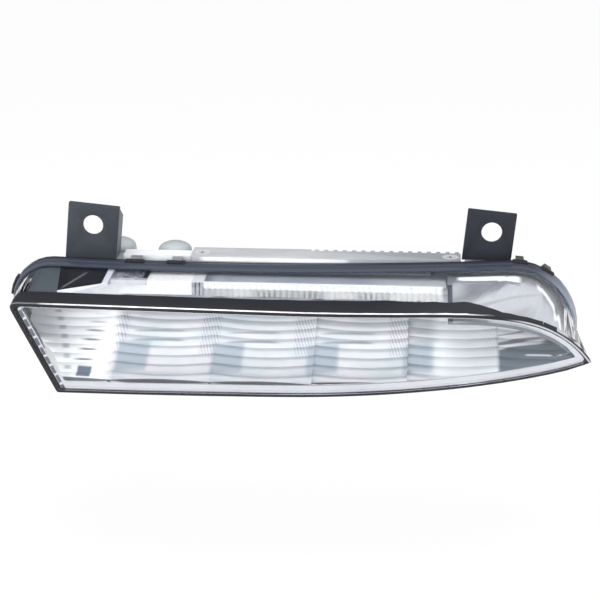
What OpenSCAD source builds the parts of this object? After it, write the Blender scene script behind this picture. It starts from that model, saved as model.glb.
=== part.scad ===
// Daytime running light for the front bumper of a car.
// The origin is midway between the two bracket holes, on the front faces of the straps:
// +X runs to the right seen from the front, +Y to the back and +Z up.

/* [Fixing straps] */
// Distance between the two bracket holes
hole_spacing = 176; // [170:1:180]
// Diameter of each bracket hole
hole_d = 9; // [6:0.5:11]
// Width of the left strap
strap_w = 22.8; // [20:0.2:24]
// Width of the right strap
strap_w_right = 21.4; // [20:0.2:22.4]
// Thickness of the strap steel
strap_t = 2; // [1.5:0.5:2.5]
// Height of the strap above its hole
strap_top = 9.5; // [8:0.5:14]
// Lean of the straps, seen from the front, in degrees
strap_lean = 5.5; // [0:0.5:7]

/* [Lens] */
// How far the front face stands ahead of the straps
front_reach = 55; // [52:0.5:58]
// How far the right tip lies behind the flat part of the front face
tip_setback = 30.4; // [26:0.2:32]
// Wall thickness of the clear lens
lens_wall = 2.2; // [1.8:0.1:2.4]
// Thickness of the black border
frame_t = 1.2; // [0.8:0.1:1.4]
// Width of the black border on the front face
frame_w = 1.5; // [1.2:0.1:2.4]
// Depth of the black band along the top
band_depth = 13.8; // [8:0.2:14]
// Depth of the border along the other edges
edge_depth = 1.8; // [1.6:0.1:3]
// Width of the bright trim along the lower edge
trim_w = 3; // [2:0.2:4]
// Width of the bright trim along the other edges
trim_side = 1; // [0.8:0.1:1.6]

/* [Rim] */
// Depth of the rim ring
rim_depth = 7; // [6:0.5:8]
// Sag of the rim's long top edge
rim_sag = 2.4; // [1:0.2:3]
// Thickness of the gasket
gasket_t = 2; // [1.5:0.5:2.5]

/* [Reflector] */
// Number of steps down each cell
steps = 11; // [8:1:13]
// Bulge of each step
step_bulge = 0.7; // [0.3:0.1:0.9]
// Height of the centre that the steps curve round
smile_centre = 105; // [80:5:140]
// Wall thickness of the reflector
bowl_t = 1.8; // [1.4:0.2:2]

/* [Heat sink] */
// Distance from fin to fin
fin_pitch = 4.2; // [3.6:0.2:6]
// Thickness of each fin
fin_t = 1.8; // [1.2:0.2:2.4]

/* [Hidden] */
eps = 0.01;

// Front face: flat on the left, swept back to the right
tip_x = 130.8;
sweep = tip_setback / (tip_x * tip_x);
function front_y(x) = -front_reach + sweep * max(x, 0) * max(x, 0);
function lerp(a, b, t) = a + (b - a) * t;
function cubic(p, t) = pow(1 - t, 3) * p[0] + 3 * pow(1 - t, 2) * t * p[1]
    + 3 * (1 - t) * t * t * p[2] + pow(t, 3) * p[3];
function unit(v) = v / norm(v);
// Three-point round-off of a corner, from the side of a to the side of b
function soft_corner(a, c, b, cut, n, from, to) =
    [for (i = [0:n]) let(t = lerp(from, to, i / n))
        (1 - t) * (1 - t) * (c + cut * unit(a - c)) + 2 * t * (1 - t) * c + t * t * (c + cut * unit(b - c))];

// Outline of the front face, seen from the front: x to the right, y up
corner_left = [-115.4, -18.6];
corner_low = [-95.4, -58.4];
curve_start = 30;
top_curve = [[30, -20.7], [80, -22.5], [113, -21], [132.5, -51]];
low_curve = [[-95.4, -58.3], [-70, -59], [104, -58.7], [132.5, -50.4]];
curve_n = 40;
top_points = [for (i = [0:curve_n]) cubic(top_curve, i / curve_n)];
low_points = [for (i = [0:curve_n]) cubic(low_curve, i / curve_n)];
function line_z(x) = lerp(corner_left[1], top_curve[0][1], (x - corner_left[0]) / (curve_start - corner_left[0]));
function top_raw(x) = x < curve_start ? line_z(x) : lookup(x, top_points);
function low_raw(x) = lookup(x, low_points);
slope_step = 0.5;
function slope(a, b) = (b - a) / (2 * slope_step);
function top_z(x, d) = top_raw(x)
    - d * sqrt(1 + pow(slope(top_raw(x - slope_step), top_raw(x + slope_step)), 2));
function low_z(x, d) = low_raw(x)
    + d * sqrt(1 + pow(slope(low_raw(x - slope_step), low_raw(x + slope_step)), 2));
// The tip lies where the two long edges, both moved in by d, cross
function tip_cross(d, lo, hi, n) = n == 0 ? (lo + hi) / 2
    : let(mid = (lo + hi) / 2)
        top_z(mid, d) > low_z(mid, d) ? tip_cross(d, mid, hi, n - 1) : tip_cross(d, lo, mid, n - 1);
left_dir = unit(corner_low - corner_left);
left_in = [-left_dir[1], left_dir[0]];
function left_x(z, d) = let(p = corner_left + d * left_in)
    p[0] + (z - p[1]) * left_dir[0] / left_dir[1];

// The front outline moved in by d, as three runs: top, bottom and left edge
top_flat_n = 8;
top_bend_n = 12;
low_bend_n = 7;
function front_runs(d) = let(
        tip_at = tip_cross(d, 90, 132, 18),
        tip = [tip_at, (top_z(tip_at, d) + low_z(tip_at, d)) / 2],
        c1 = [left_x(top_z(-110, d), d), top_z(-110, d)],
        c2 = [left_x(low_z(-90, d), d), low_z(-90, d)],
        bend = [for (i = [1:top_bend_n]) let(x = lerp(58, tip_at - 1.4, sin(90 * i / top_bend_n))) [x, top_z(x, d)]],
        rise = [for (i = [1:low_bend_n]) let(x = lerp(tip_at - 2.4, 70, i / low_bend_n)) [x, low_z(x, d)]],
        cut_1 = max(1.5, 5 - d), cut_2 = 1
    ) [
        concat(soft_corner(c2, c1, [60, c1[1]], cut_1, 4, 0.5, 1),
            [for (i = [1:top_flat_n]) let(x = lerp(-105, 58, i / top_flat_n)) [x, top_z(x, d)]], bend),
        concat([tip + [-0.5, 0]], rise,
            [for (i = [1:6]) let(x = lerp(70, -90, i / 6)) [x, low_z(x, d)]],
            soft_corner([0, c2[1]], c2, c1, cut_2, 2, 0, 0.5)),
        concat(soft_corner([0, c2[1]], c2, c1, cut_2, 1, 0.75, 1),
            [for (i = [1:5]) lerp(c2 + cut_2 * unit(c1 - c2), c1 + cut_1 * unit(c2 - c1), i / 5)],
            soft_corner(c2, c1, [60, c1[1]], cut_1, 3, 0.1, 0.4))
    ];
function front_path(d) = let(r = front_runs(d)) concat(r[0], r[1], r[2]);

// Outline of the rim, seen from the front: four arcs, with a sagging top edge
arc_1 = [-106, -33, 18.5];
arc_2 = [-98, -44, 16];
arc_3 = [98, -40.7, 28.7];
arc_4 = [108.6, -43.2, 18];
function centre(a) = [a[0], a[1]];
function touch(a, b) = let(v = centre(b) - centre(a)) atan2(v[1], v[0]) - acos((a[2] - b[2]) / norm(v));
function arc_at(a, d, t) = centre(a) + (a[2] - d) * [cos(t), sin(t)];
function arc_run(a, d, from, to, n) = [for (i = [0:n]) arc_at(a, d, lerp(from, to, i / n))];
turn_12 = touch(arc_1, arc_2) + 360;
turn_24 = touch(arc_2, arc_4) + 360;
turn_43 = touch(arc_4, arc_3);
rim_split_left = 135;
rim_split_right = -15;
function sag_at(t) = rim_sag * 4 * t * (1 - t);
function rim_runs(d) = let(a = arc_at(arc_1, d, 90), b = arc_at(arc_3, d, 90)) [
        concat(arc_run(arc_1, d, rim_split_left, 90, 4),
            [for (i = [1:top_flat_n]) let(t = i / (top_flat_n + 1)) lerp(a, b, t) - [0, sag_at(t)]],
            arc_run(arc_3, d, 90, turn_43, top_bend_n - 2), [arc_at(arc_4, d, (turn_43 + rim_split_right) / 2)]),
        concat(arc_run(arc_4, d, rim_split_right, turn_24 - 360, low_bend_n),
            [for (i = [1:6]) lerp(arc_at(arc_4, d, turn_24), arc_at(arc_2, d, turn_24), i / 7)],
            arc_run(arc_2, d, turn_24, 240, 2)),
        concat(arc_run(arc_2, d, 236, turn_12, 1), arc_run(arc_1, d, turn_12 - 4, 140, 8))
    ];
function rim_path(d) = let(r = rim_runs(d)) concat(r[0], r[1], r[2]);

// Solid between outlines of equal length, each point as [x, y, z], from back to front
function sides(n, m) = [for (k = [0:m - 2]) for (i = [0:n - 1]) let(j = (i + 1) % n)
        for (f = [[k * n + i, k * n + j, (k + 1) * n + j], [k * n + i, (k + 1) * n + j, (k + 1) * n + i]]) f];
function middle(ring) = [for (p = ring) 1] * ring / len(ring);
module loft(rings) {
    n = len(rings[0]);
    m = len(rings);
    hub = n * m;
    polyhedron(
        points = concat([for (r = rings) for (p = r) p], [middle(rings[0]), middle(rings[m - 1])]),
        faces = concat(
            [for (i = [0:n - 1]) [(i + 1) % n, i, hub]],
            sides(n, m),
            [for (i = [0:n - 1]) [hub - n + i, hub - n + (i + 1) % n, hub + 1]]));
}
function ring_at(path, y) = [for (p = path) [p[0], y, p[1]]];

// Plates and prisms drawn in the front view and in the plan view
module front_prism(y0, y1) {
    translate([0, y1, 0]) rotate([90, 0, 0]) linear_extrude(y1 - y0) children();
}
module plan_prism(z0, z1) {
    translate([0, 0, z0]) linear_extrude(z1 - z0) children();
}
sweep_xs = concat([-140, 0], [for (x = [8:8:72]) x], [78, 84, 92, 99, 106, 114, 120, 128, 136]);
module behind_front(d) {
    plan_prism(-80, 0) polygon(concat([for (x = sweep_xs) [x, front_y(x) + d]], [[136, 60], [-140, 60]]));
}
// Share of the band's extra depth that is left at each place along the front
band_share = [[20, 1], [40, 0.96], [64, 0.68], [78, 0.5], [84, 0.3], [90, 0.07], [97, 0]];
module ahead_of(d_of, z0 = -80, z1 = 0) {
    plan_prism(z0, z1) polygon(concat(
        [for (x = sweep_xs) [x, front_y(x) + lerp(d_of[0], d_of[1], lookup(x, band_share))]],
        [[136, -90], [-140, -90]]));
}

// Shape of the lens, moved in by d: foot, tapering walls and front face
rim_front = -rim_depth - gasket_t;
lens_inset = 2.2;
module lens_form(d, y_back = -gasket_t) {
    intersection() {
        loft([
            ring_at(rim_path(lens_inset + d), y_back),
            ring_at(rim_path(lens_inset + d), rim_front),
            [for (p = front_path(d)) [p[0], front_y(p[0]) + d, p[1]]],
            ring_at(front_path(d), -front_reach - 6)
        ]);
        behind_front(d);
    }
}
module front_window(d) {
    front_prism(-front_reach - 10, 0) polygon(front_path(d));
}
band_low = -26;
// The border is narrower along its lower edge
frame_drop = 0.5;
module frame_window() {
    front_window(frame_w);
    translate([0, 0, -frame_drop]) front_window(frame_w);
}
module edge_zone(edge, band) {
    ahead_of([edge, edge]);
    ahead_of([edge, band], band_low, 0);
}
module front_frame() {
    color([0.10, 0.10, 0.11]) difference() {
        intersection() {
            lens_form(0);
            edge_zone(edge_depth, band_depth);
        }
        lens_form(frame_t);
        frame_window();
    }
}
// The clear cup has a rebate that the border fills, so both are flush outside
module outer_lens() {
    color([0.86, 0.89, 0.92], 0.4) difference() {
        union() {
            difference() {
                lens_form(0);
                edge_zone(edge_depth, band_depth);
            }
            lens_form(frame_t);
            intersection() {
                lens_form(0);
                frame_window();
            }
        }
        lens_form(lens_wall, 1);
    }
}

groove_y = -gasket_t - 3.2;
rim_groove = 0.9;
module retaining_rim() {
    color([0.36, 0.38, 0.45]) difference() {
        loft([
            ring_at(rim_path(0), -gasket_t),
            ring_at(rim_path(0.2), groove_y + 0.3),
            ring_at(rim_path(rim_groove), groove_y),
            ring_at(rim_path(rim_groove), groove_y - 0.4),
            ring_at(rim_path(0.4), groove_y - 0.8),
            ring_at(rim_path(1.3), rim_front)
        ]);
        front_prism(rim_front - 1, 1) polygon(rim_path(lens_inset));
    }
}
flange_t = 3;
gasket_inner = lens_inset + lens_wall;
module sealing_gasket() {
    color([0.06, 0.06, 0.07]) front_prism(-gasket_t, 0) difference() {
        polygon(rim_path(0.2));
        polygon(rim_path(gasket_inner));
    }
}

// Clips that hook over the rim and behind the flange: middle and width of each, as angles or places
clip_t = 0.8;
clip_reach = 5;
clip_neck_y = -1.8;
clip_neck = 0.55;
clip_hook = 2.6;
top_clips = [[-69.2, 8.4], [-50.8, 8.4], [hole_spacing / 2 + 12.6, 6.4]];
side_clips = [[112.5, -16, 40, 5.6], [-123.2, -27, 160, 9], [20, -60, 90, 8]];
module clip_ring() {
    front_prism(-clip_reach, flange_t + clip_t) difference() {
        polygon(rim_path(-clip_t));
        polygon(rim_path(0));
    }
    front_prism(flange_t, flange_t + clip_t) difference() {
        polygon(rim_path(-clip_t));
        polygon(rim_path(clip_hook));
    }
}
// Plan of a clip: wide over the rim and narrow where it reaches back
module clip_plan(w) {
    translate([-w / 2, clip_neck_y - 10, -12]) cube([w, 10, 24]);
    translate([-w * clip_neck / 2, clip_neck_y - eps, -12]) cube([w * clip_neck, 10, 24]);
}
module rim_clips() {
    color([0.16, 0.16, 0.17]) intersection() {
        clip_ring();
        union() {
            for (c = top_clips) translate([c[0], 0, -12]) clip_plan(c[1]);
            for (c = side_clips) translate([c[0], 0, c[1]]) rotate([0, 90 - c[2], 0]) clip_plan(c[3]);
        }
    }
}

// Bright trim behind the border
seat = 0.1;
trim_t = 1.3;
trim_in = lens_wall + seat;
// Opening of the trim: wide below, narrow above and at the left
trim_shift = [-2, 0, 2.4];
module trim_window() {
    intersection() {
        front_window(frame_w + trim_side);
        union() {
            front_window(frame_w + trim_w);
            translate(trim_shift) front_window(frame_w + trim_w);
        }
    }
}
module bezel_trim() {
    color([0.88, 0.89, 0.92]) difference() {
        intersection() {
            lens_form(trim_in);
            edge_zone(edge_depth + 1.5, band_depth + 1.5);
        }
        lens_form(trim_in + trim_t);
        trim_window();
    }
}

// Reflector cell, in section: a parabola from the board down to the front, cut into bulging steps
board_top = -22.8;
board_t = 1.6;
led_plane = board_top - board_t;
bowl_back = -2;
bowl_front = -front_reach + 4.6;
bowl_low = -55;
bowl_k = pow(led_plane - bowl_low, 2) / (bowl_back - bowl_front);
cells = [-114, -74, -31, 12, 52, 91, 128];
function bowl_z(t) = led_plane - (led_plane - bowl_low) * pow(t, 0.75);
function bowl_y(z) = bowl_back - pow(led_plane - z, 2) / bowl_k;
function bowl_at(t) = let(z = bowl_z(t)) [z, bowl_y(z)];
bulge_n = 3;
function step_points(i) = let(a = bowl_at(i / steps), b = bowl_at((i + 1) / steps), v = unit(b - a),
        out = [v[1], -v[0]] * (v[1] < 0 ? -1 : 1))
    [for (k = [0:bulge_n - 1]) let(s = k / bulge_n) lerp(a, b, s) + 4 * s * (1 - s) * step_bulge * out];
function stepped() = concat([for (i = [0:steps - 1]) for (p = step_points(i)) p], [bowl_at(1)]);
function smooth(n) = [for (i = [0:n]) bowl_at(i / n)];
function flip(list) = [for (i = [len(list) - 1:-1:0]) list[i]];
// Section of the wall, as [distance below the smile centre, y]
module bowl_section(face, y_front, y_back) {
    back = smooth(9);
    polygon(concat(
        [for (p = face) [smile_centre - p[0], p[1] + y_front]],
        [for (p = flip(back)) [smile_centre - p[0] + bowl_t * 0.7, p[1] + y_back + bowl_t]],
        [[smile_centre - led_plane, bowl_back + y_back + bowl_t]]));
}
function cell_mid(i) = (cells[i] + cells[i + 1]) / 2;
shift_most = 6;
function cell_shift(i) = min(shift_most, sweep * pow(max(cell_mid(i), 0), 2));
module smile(x, x0, x1) {
    turn = 2 * asin((x1 - x0) / 2 / (smile_centre - led_plane)) + 1;
    intersection() {
        translate([x, 0, smile_centre]) rotate([-90, 0, 0]) rotate([0, 0, 90 - turn / 2])
            rotate_extrude(angle = turn, $fn = 150) children();
        translate([x0, -90, -90]) cube([x1 - x0, 150, 90]);
    }
}
lap = 0.3;
module reflector() {
    color([0.86, 0.87, 0.90]) intersection() {
        union() {
            for (i = [0:len(cells) - 2]) smile(cell_mid(i), cells[i] - lap, cells[i + 1] + lap)
                bowl_section(stepped(), cell_shift(i), cell_shift(i));
            for (i = [1:len(cells) - 2]) smile(cells[i], cells[i] - 0.6, cells[i] + 0.6)
                bowl_section(smooth(9), cell_shift(i - 1) - 0.6, cell_shift(i) + 0.3);
        }
        union() {
            intersection() {
                lens_form(trim_in + trim_t + seat, -6);
                union() {
                    translate([-130, -90, -90]) cube([x_end + 130, 120, 90]);
                    translate([-130, -90, -90]) cube([260, 120, 90 + panel_low - 0.1]);
                }
            }
            lens_form(side_gap + panel_t + seat, -6);
            front_prism(-8, 8) polygon(rim_path(lens_inset + side_gap + panel_t + 0.2));
        }
        translate([-130, -90, -90]) cube([260, 120, 90 + led_plane]);
    }
}

// Row behind the top of the lens: cover, fluted shield, ledge, post and side optic
row_front = -17;
row_back = -4;
row_top = -21.2;
shield_low = -27;
shield_t = 1.4;
flute_pitch = 2.6;
flute_n = 5;
x_optic = -77.6;
x_ledge = -61.8;
x_wall = -96;
x_post = -42;
x_cover = -36.8;
x_end = 68.4;
module board_cover() {
    color([0.42, 0.46, 0.55]) translate([x_cover, row_front, board_top])
        cube([x_end - x_cover, row_back - row_front, row_top - board_top]);
}
module led_shield() {
    count = floor((x_end - x_cover) / flute_pitch);
    edge = [for (i = [0:count - 1]) for (k = [0:flute_n - 1])
        [x_cover + (i + k / flute_n) * flute_pitch, row_front - shield_t - 0.7 * sin(180 * k / flute_n)]];
    end = x_cover + count * flute_pitch;
    color([0.90, 0.91, 0.93]) plan_prism(shield_low, row_top)
        polygon(concat(edge, [[end, row_front - shield_t], [end, row_front], [x_cover, row_front]]));
}
module optic_shelf() {
    color([0.92, 0.92, 0.94]) {
        w = x_post - x_ledge;
        translate([x_ledge, row_front, board_top]) cube([w, row_back - row_front, row_top - board_top]);
        translate([x_ledge, row_front - shield_t, shield_low])
            cube([w, shield_t + eps, row_top - shield_low]);
        translate([x_wall, row_front - shield_t, shield_low])
            cube([x_ledge + eps - x_wall, shield_t, board_top - 0.1 - shield_low]);
    }
}
post_ribs = 3;
module shield_post() {
    w = x_cover - x_post;
    color([0.80, 0.81, 0.85]) {
        translate([x_post, row_front, board_top]) cube([w, row_back - row_front, row_top - board_top]);
        translate([x_post, row_front - shield_t, shield_low]) cube([w, shield_t + eps, row_top - shield_low]);
        for (i = [0:post_ribs - 1]) translate([x_post + w * (i + 0.5) / post_ribs, row_front - shield_t, shield_low])
            cylinder(h = row_top - shield_low, d = w / post_ribs, $fn = 16);
    }
}
fan_n = 7;
fan_start = 5.6;
fan_turn = [98, 170];
groove_d = 1.1;
optic_t = 2.2;
optic_front = row_front - 2;
module side_optic() {
    color([0.80, 0.84, 0.90], 0.6) difference() {
        translate([x_optic, optic_front, board_top])
            cube([x_ledge - x_optic, row_back - optic_front, optic_t]);
        for (i = [0:fan_n - 1]) translate([x_ledge, optic_front, board_top + optic_t])
            rotate([0, 0, lerp(fan_turn[0], fan_turn[1], i / (fan_n - 1))]) rotate([0, 90, 0])
                translate([0, 0, fan_start]) cylinder(h = 20, d = groove_d, $fn = 14);
    }
}

// Panels that close the two ends under the clear top wall
panel_t = 1.4;
left_front = -front_reach + band_depth + 1.6;
wedge_x = -91.6;
wedge_back = -25;
module end_panel_left() {
    color([0.22, 0.24, 0.27]) difference() {
        intersection() {
            lens_form(trim_in, -4);
            plan_prism(-44, 0) polygon([[-130, left_front], [wedge_x, left_front], [x_optic - 0.2, wedge_back],
                [x_optic - 0.2, 10], [-130, 10]]);
        }
        lens_form(trim_in + panel_t, 1);
    }
}
side_gap = 4.6;
panel_low = -47;
bar_x = [72, 100];
bar_low = -20.9;
bar_t = 1.4;
fold = [[60, -45.5], [109, -14]];
fold_step = 0.9;
x_rib = x_end + 0.7;
rib_t = 1.6;
module end_panel_right() {
    color([0.74, 0.75, 0.80]) {
        difference() {
            intersection() {
                union() {
                    lens_form(side_gap, row_back);
                    intersection() {
                        lens_form(side_gap - fold_step, row_back);
                        plan_prism(-40, 0) polygon([fold[0], fold[1], [109, 10], [60, 10]]);
                    }
                }
                translate([x_end + 0.6, -60, panel_low]) cube([80, 60, -panel_low]);
                behind_front(trim_in + trim_t + 0.1);
            }
            lens_form(side_gap + panel_t, 1);
            intersection() {
                front_window(side_gap + panel_t);
                ahead_of([side_gap + panel_t + 0.1, side_gap + panel_t + 0.1]);
            }
            ahead_of([edge_depth + 2, edge_depth + 2]);
            translate([x_end, row_front, led_plane - 0.3])
                cube([board_x[1] + 0.5 - x_end, 20, board_t + 0.6]);
        }
        translate([x_rib, row_front - shield_t, shield_low]) cube([rib_t, shield_t + 0.1, bar_low - shield_low]);
        translate([bar_x[0], row_front + 2, bar_low])
            cube([bar_x[1] - bar_x[0], row_back - row_front - 2, bar_t]);
    }
}

// Board with its light sources, facing down into the reflector
board_x = [-98, 78];
board_back = 12;
module led_board() {
    color([0.86, 0.87, 0.88]) translate([board_x[0], row_front + 0.2, led_plane])
        cube([board_x[1] - board_x[0], board_back - row_front - 0.2, board_t]);
}
led_y = -8.2;
led_size = [3.5, 3.5, 0.9];
function led_x(i) = i == 0 ? -92 : cell_mid(i);
module led(i) {
    color([0.95, 0.92, 0.60]) {
        translate([led_x(i) - led_size[0] / 2, led_y + cell_shift(i) - led_size[1] / 2, led_plane - led_size[2]])
            cube(led_size);
        translate([led_x(i), led_y + cell_shift(i), led_plane - led_size[2]]) sphere(r = 0.85, $fn = 16);
    }
}

// Heat sink over the board, with upright fins along its back
sink_x = [-45, 75];
sink_y = [3.4, 15];
sink_top = -14.2;
sink_t = 3;
sink_low = sink_top - sink_t;
tongue_x = [-34, 62];
tongue_y = [4.4, 11.6];
pad_t = 0.5;
fin_back = 27;
fin_tip = 17;
comb_start = 8;
fin_low = -53;
sink_screw_x = [-40.5, 70.5];
sink_screw_y = 9;
module heat_sink() {
    color([0.70, 0.73, 0.72]) difference() {
        union() {
            translate([sink_x[0], sink_y[0], sink_low])
                cube([sink_x[1] - sink_x[0], sink_y[1] - sink_y[0], sink_t]);
            translate([sink_x[0], sink_y[1] - 3, fin_low]) cube([sink_x[1] - sink_x[0], 3, sink_top - fin_low]);
            translate([tongue_x[0], tongue_y[0], board_top + pad_t])
                cube([tongue_x[1] - tongue_x[0], tongue_y[1] - tongue_y[0], sink_low - board_top - pad_t + eps]);
            translate([sink_x[0], sink_y[1] - eps, sink_top - 2])
                cube([comb_start - sink_x[0], fin_tip - sink_y[1], 2]);
            for (x = [sink_x[0] + fin_t / 2:fin_pitch:sink_x[1] - fin_t / 2]) translate([x - fin_t / 2, 0, 0])
                rotate([90, 0, 90]) linear_extrude(fin_t) polygon([
                    [sink_y[1] - 1, sink_top], [fin_tip, sink_top], [fin_back, sink_top - 8],
                    [fin_back, fin_low], [sink_y[1] - 1, fin_low]]);
        }
        for (x = sink_screw_x) translate([x, sink_screw_y, sink_low - 1]) cylinder(h = sink_t + 2, d = 4.2, $fn = 32);
        for (x = sink_screw_x) translate([x, sink_screw_y, sink_top - sunk_head_h])
            cylinder(h = sunk_head_h + eps, d1 = 4.2, d2 = sunk_head_d + 0.2, $fn = 32);
    }
}
sunk_head_d = 7.4;
sunk_head_h = 1.8;
slot_w = 1;
module heat_sink_screws() {
    color([0.60, 0.61, 0.64]) for (x = sink_screw_x) translate([x, sink_screw_y, sink_top]) difference() {
        union() {
            translate([0, 0, -sink_t - 4.2]) cylinder(h = sink_t + 4, d = 4, $fn = 24);
            translate([0, 0, -sunk_head_h]) cylinder(h = sunk_head_h, d1 = 4, d2 = sunk_head_d, $fn = 32);
        }
        for (turn = [0, 90]) rotate([0, 0, turn]) translate([-2, -slot_w / 2, -1]) cube([4, slot_w, 2]);
    }
}
module thermal_pad() {
    color([0.85, 0.62, 0.70]) translate([tongue_x[0], tongue_y[0], board_top])
        cube([tongue_x[1] - tongue_x[0], tongue_y[1] - tongue_y[0], pad_t]);
}

// Rear housing: flange, tapering tub, raised seats for the heat sink, the caps and the straps
tub_back = 29;
tub_wall = 2.4;
rear_start = flange_t + 1.4;
block_x = [-75.5, -45.3];
block_back = 13;
block_top = -14.6;
pod_wall = 2.4;
hole_x = hole_spacing / 2;
foot_x = [[-hole_x - 12.5, -hole_x - 1], [hole_x - 11, hole_x + 7]];
foot_top = [-14, -10.6];
cap_x = [-80.1, -54.5];
cap_y = 21;
cap_base = [-16.7, -18];
cap_d = 15.4;
cap_h = 4.2;
cap_rim = 1.2;
cap_stem = 7.8;
socket = [-74, -44];
socket_size = [27, 13];
screw_x = [-hole_x - 6.8, hole_x - 2];
strap_screw_y = 9.5;
strap_screw_d = 5;
module tub_inside() {
    loft([
        ring_at(rim_path(15), tub_back - tub_wall),
        ring_at(rim_path(gasket_inner + 0.6), 2),
        ring_at(rim_path(gasket_inner + 0.2), -1)
    ]);
}
module tub_outside() {
    loft([ring_at(rim_path(12.5), tub_back), ring_at(rim_path(2.8), flange_t - eps)]);
}
module raised(x0, x1, y1, top) {
    translate([x0, rear_start, -38]) cube([x1 - x0, y1 - rear_start, top + 38]);
}
module housing() {
    color([0.84, 0.85, 0.86]) difference() {
        union() {
            difference() {
                union() {
                    front_prism(0, flange_t) polygon(rim_path(1.4));
                    tub_outside();
                    raised(block_x[0], block_x[1], block_back, block_top);
                    raised(block_x[1] - 0.5, sink_x[1] + 1, 11.8, sink_low);
                    for (i = [0, 1]) raised(foot_x[i][0], foot_x[i][1], foot_len, foot_top[i] - strap_t);
                    for (i = [0, 1]) translate([cap_x[i], cap_y, -38])
                        cylinder(h = cap_base[i] + 38, d = cap_d + 0.6, $fn = 48);
                }
                tub_inside();
            }
            intersection() {
                tub_outside();
                union() for (x = [sink_x[0] - 0.2 - pod_wall, sink_x[1] + 0.2])
                    translate([x, 11, -70]) cube([pod_wall, 30, 60]);
            }
            for (x = [-95.5, -52.5]) for (z = [-43, -33]) translate([x, board_2_y + board_t, z])
                rotate([-90, 0, 0]) cylinder(h = tub_back - tub_wall - board_2_y - board_t + 0.5, d = 4, $fn = 24);
        }
        translate([sink_x[0] - 0.2, sink_y[0] - 0.2, sink_low]) cube([sink_x[1] - sink_x[0] + 0.4, 40, 30]);
        translate([sink_x[0] - 0.2, sink_y[1] - 3, -80]) cube([sink_x[1] - sink_x[0] + 0.4, 40, 90]);
        translate([tongue_x[0] - 0.2, tongue_y[0] - 0.2, -30]) cube([tongue_x[1] - tongue_x[0] + 0.4,
            tongue_y[1] - tongue_y[0] + 0.4, 30]);
        translate([board_x[0] - 0.2, -2, led_plane - 0.4])
            cube([board_x[1] - board_x[0] + 0.4, board_back + 2.2, board_t + 0.6]);
        for (x = sink_screw_x) translate([x, sink_screw_y, sink_low - 4.4]) cylinder(h = 8, d = 4.1, $fn = 32);
        for (i = [0, 1]) translate([screw_x[i], strap_screw_y, foot_top[i] - 8])
            cylinder(h = 12, d = strap_screw_d + 0.1, $fn = 32);
        for (i = [0, 1]) translate([cap_x[i], cap_y, cap_base[i] - 3.5])
            cylinder(h = 5, d = cap_stem + 0.2, $fn = 32);
        translate([socket[0] - 8, tub_back - 6, socket[1] - 4]) cube([16, 8, 8]);
    }
}
module vent_cap(i) {
    color([0.80, 0.82, 0.83]) translate([cap_x[i], cap_y, cap_base[i]])
        rotate_extrude($fn = 48) polygon(concat(
            [[0, -3.5], [cap_stem / 2, -3.5], [cap_stem / 2, 0], [cap_d / 2, 0]],
            [for (k = [0:5]) [cap_d / 2 * cos(15 * k), cap_rim + cap_h * sin(15 * k)]],
            [[0, cap_rim + cap_h]]));
}
board_2_y = 22.4;
board_2_x = [-99, -49];
board_2_z = [-45.4, -30.6];
chips = [[-92, -41, 9, 8, 2.2], [-77, -37, 11, 6, 3], [-63, -42, 5, 5, 6], [-55, -36, 4, 6, 1.6]];
module driver_board() {
    color([0.10, 0.32, 0.20]) {
        translate([board_2_x[0], board_2_y, board_2_z[0]])
            cube([board_2_x[1] - board_2_x[0], board_t, board_2_z[1] - board_2_z[0]]);
        for (c = chips) translate([c[0], board_2_y - c[4], c[1]]) cube([c[2], c[4] + eps, c[3]]);
    }
}

// Power inlet at the back
socket_len = 17;
socket_wall = 1.8;
pin_n = 3;
pin_pitch = 6;
pin_d = 1.6;
module socket_shell(w, h, y0, y1) {
    front_prism(y0, y1) translate([socket[0], socket[1]]) hull()
        for (sx = [-1, 1]) for (sz = [-1, 1]) translate([sx * (w / 2 - 2), sz * (h / 2 - 2)]) circle(r = 2, $fn = 24);
}
module connector_socket() {
    color([0.09, 0.09, 0.10]) difference() {
        union() {
            socket_shell(socket_size[0], socket_size[1], tub_back, tub_back + socket_len);
            socket_shell(socket_size[0] + 6, socket_size[1] + 5, tub_back, tub_back + 2);
        }
        socket_shell(socket_size[0] - 2 * socket_wall, socket_size[1] - 2 * socket_wall,
            tub_back + 4, tub_back + 40);
        for (i = [0:pin_n - 1]) translate([socket[0] + (i - 1) * pin_pitch, tub_back - 1, socket[1]])
            rotate([-90, 0, 0]) cylinder(h = 8, d = pin_d, $fn = 20);
    }
}
module connector_pins() {
    color([0.78, 0.70, 0.45]) for (i = [0:pin_n - 1]) translate([socket[0] + (i - 1) * pin_pitch,
        board_2_y + board_t, socket[1]]) rotate([-90, 0, 0]) cylinder(h = 14, d = pin_d, $fn = 20);
}

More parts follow.
